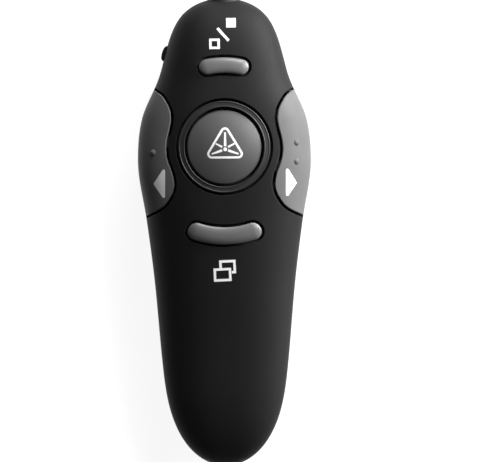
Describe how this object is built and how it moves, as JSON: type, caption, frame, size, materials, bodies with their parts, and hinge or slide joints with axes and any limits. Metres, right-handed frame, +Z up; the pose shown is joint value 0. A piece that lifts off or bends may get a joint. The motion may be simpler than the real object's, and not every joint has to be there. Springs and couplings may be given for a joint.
{
  "type": "wireless presenter",
  "caption": "Hand-held wireless presenter with round laser key, bar keys, wing keys, slide switch, battery cover and docked USB receiver.",
  "frame": {"origin": "middle of the overall length and width, on the plane of the flat belly", "axes": "+X to the right seen from above with the nose away, +Y towards the laser nose, +Z up through the keys"},
  "size_m": [0.044, 0.12, 0.0251],
  "materials": {
    "housing": "soft matt black with a fine grain",
    "key_grey": "satin grey",
    "wing_dark": "satin grey, fine grain",
    "trim": "dark satin trim",
    "nose": "dark satin",
    "window": "smoked red window",
    "knob": "matt black",
    "switch_plastic": "black moulded",
    "natural_plastic": "natural moulded",
    "board": "green solder mask",
    "chip": "black epoxy",
    "can": "drawn steel can",
    "ceramic": "ceramic",
    "brass": "turned brass",
    "lens": "clear",
    "wire": "red insulation",
    "steel": "zinc plated",
    "contact": "nickel plated spring steel",
    "cell": "printed sleeve, plain",
    "receiver": "satin black",
    "plug": "stamped plug shell",
    "tongue": "white"
  },
  "bodies": {
    "housing": {"top_shell": "housing", "bottom_shell": "housing", "nose_ring": "nose", "laser_window": "window", "laser_button_ring": "trim", "power_switch_body": "can", "circuit_board": "board", "laser_tact_switch": "switch_plastic", "black_screen_tact_switch": "switch_plastic", "full_screen_tact_switch": "switch_plastic", "previous_tact_switch": "switch_plastic", "next_tact_switch": "switch_plastic", "radio_chip": "chip", "crystal": "can", "capacitors": "ceramic", "laser_module": "brass", "laser_lens": "lens", "laser_wires": "wire", "board_screws": "steel", "case_screws": "steel", "battery_left": "cell", "battery_right": "cell", "tail_link_contact": "contact", "tail_spring": "contact", "head_positive_contact": "contact", "head_negative_contact": "contact", "head_spring": "contact"},
    "laser_button": {"laser_button": "key_grey"},
    "black_screen_button": {"black_screen_button": "key_grey"},
    "full_screen_button": {"full_screen_button": "key_grey"},
    "previous_key": {"previous_key": "wing_dark"},
    "next_key": {"next_key": "wing_dark"},
    "power_switch_knob": {"power_switch_knob": "knob", "power_switch_slider": "natural_plastic"},
    "battery_cover": {"battery_cover": "housing"},
    "usb_receiver": {"receiver_cap": "receiver", "usb_plug_shell": "plug", "usb_tongue": "tongue"},
    "laser_plunger": {"laser_plunger": "natural_plastic"},
    "black_screen_plunger": {"black_screen_plunger": "natural_plastic"},
    "full_screen_plunger": {"full_screen_plunger": "natural_plastic"},
    "previous_plunger": {"previous_plunger": "natural_plastic"},
    "next_plunger": {"next_plunger": "natural_plastic"}
  },
  "joints": [
    {"name": "laser_button_press", "type": "slide", "parent": "housing", "child": "laser_button", "axis": [0, 0, -1], "range_m": [0, 0.0003], "stiffness_N_per_m": 2000},
    {"name": "black_screen_button_press", "type": "slide", "parent": "housing", "child": "black_screen_button", "axis": [0, 0, -1], "range_m": [0, 0.0003], "stiffness_N_per_m": 2000},
    {"name": "full_screen_button_press", "type": "slide", "parent": "housing", "child": "full_screen_button", "axis": [0, 0, -1], "range_m": [0, 0.0003], "stiffness_N_per_m": 2000},
    {"name": "previous_key_press", "type": "hinge", "parent": "housing", "child": "previous_key", "pos_m": [0, 0.0375, 0.017], "axis": [1, 0, 0], "range_deg": [0, 0.799], "stiffness_Nm_per_rad": 0.9245},
    {"name": "next_key_press", "type": "hinge", "parent": "housing", "child": "next_key", "pos_m": [0, 0.0375, 0.017], "axis": [1, 0, 0], "range_deg": [0, 0.799], "stiffness_Nm_per_rad": 0.9245},
    {"name": "laser_plunger_slide", "type": "slide", "parent": "housing", "child": "laser_plunger", "axis": [0, 0, -1], "range_m": [0, 0.0003]},
    {"name": "black_screen_plunger_slide", "type": "slide", "parent": "housing", "child": "black_screen_plunger", "axis": [0, 0, -1], "range_m": [0, 0.0003]},
    {"name": "full_screen_plunger_slide", "type": "slide", "parent": "housing", "child": "full_screen_plunger", "axis": [0, 0, -1], "range_m": [0, 0.0003]},
    {"name": "previous_plunger_slide", "type": "slide", "parent": "housing", "child": "previous_plunger", "axis": [0, 0, -1], "range_m": [0, 0.0003]},
    {"name": "next_plunger_slide", "type": "slide", "parent": "housing", "child": "next_plunger", "axis": [0, 0, -1], "range_m": [0, 0.0003]},
    {"name": "power_switch_slide", "type": "slide", "parent": "housing", "child": "power_switch_knob", "axis": [-0.2519, -0.9677, 0], "range_m": [0, 0.002]},
    {"name": "battery_cover_slide", "type": "slide", "parent": "housing", "child": "battery_cover", "axis": [0, -1, 0], "range_m": [0, 0.006]},
    {"name": "usb_receiver_slide", "type": "slide", "parent": "housing", "child": "usb_receiver", "axis": [0, -1, 0], "range_m": [0, 0.02]}
  ],
  "couplings": [
    {"joint": "laser_plunger_slide", "follows": "laser_button_press", "ratio": 1},
    {"joint": "black_screen_plunger_slide", "follows": "black_screen_button_press", "ratio": 1},
    {"joint": "full_screen_plunger_slide", "follows": "full_screen_button_press", "ratio": 1},
    {"joint": "previous_plunger_slide", "follows": "previous_key_press", "m_per_rad": 0.021489},
    {"joint": "next_plunger_slide", "follows": "next_key_press", "m_per_rad": 0.021489}
  ]
}
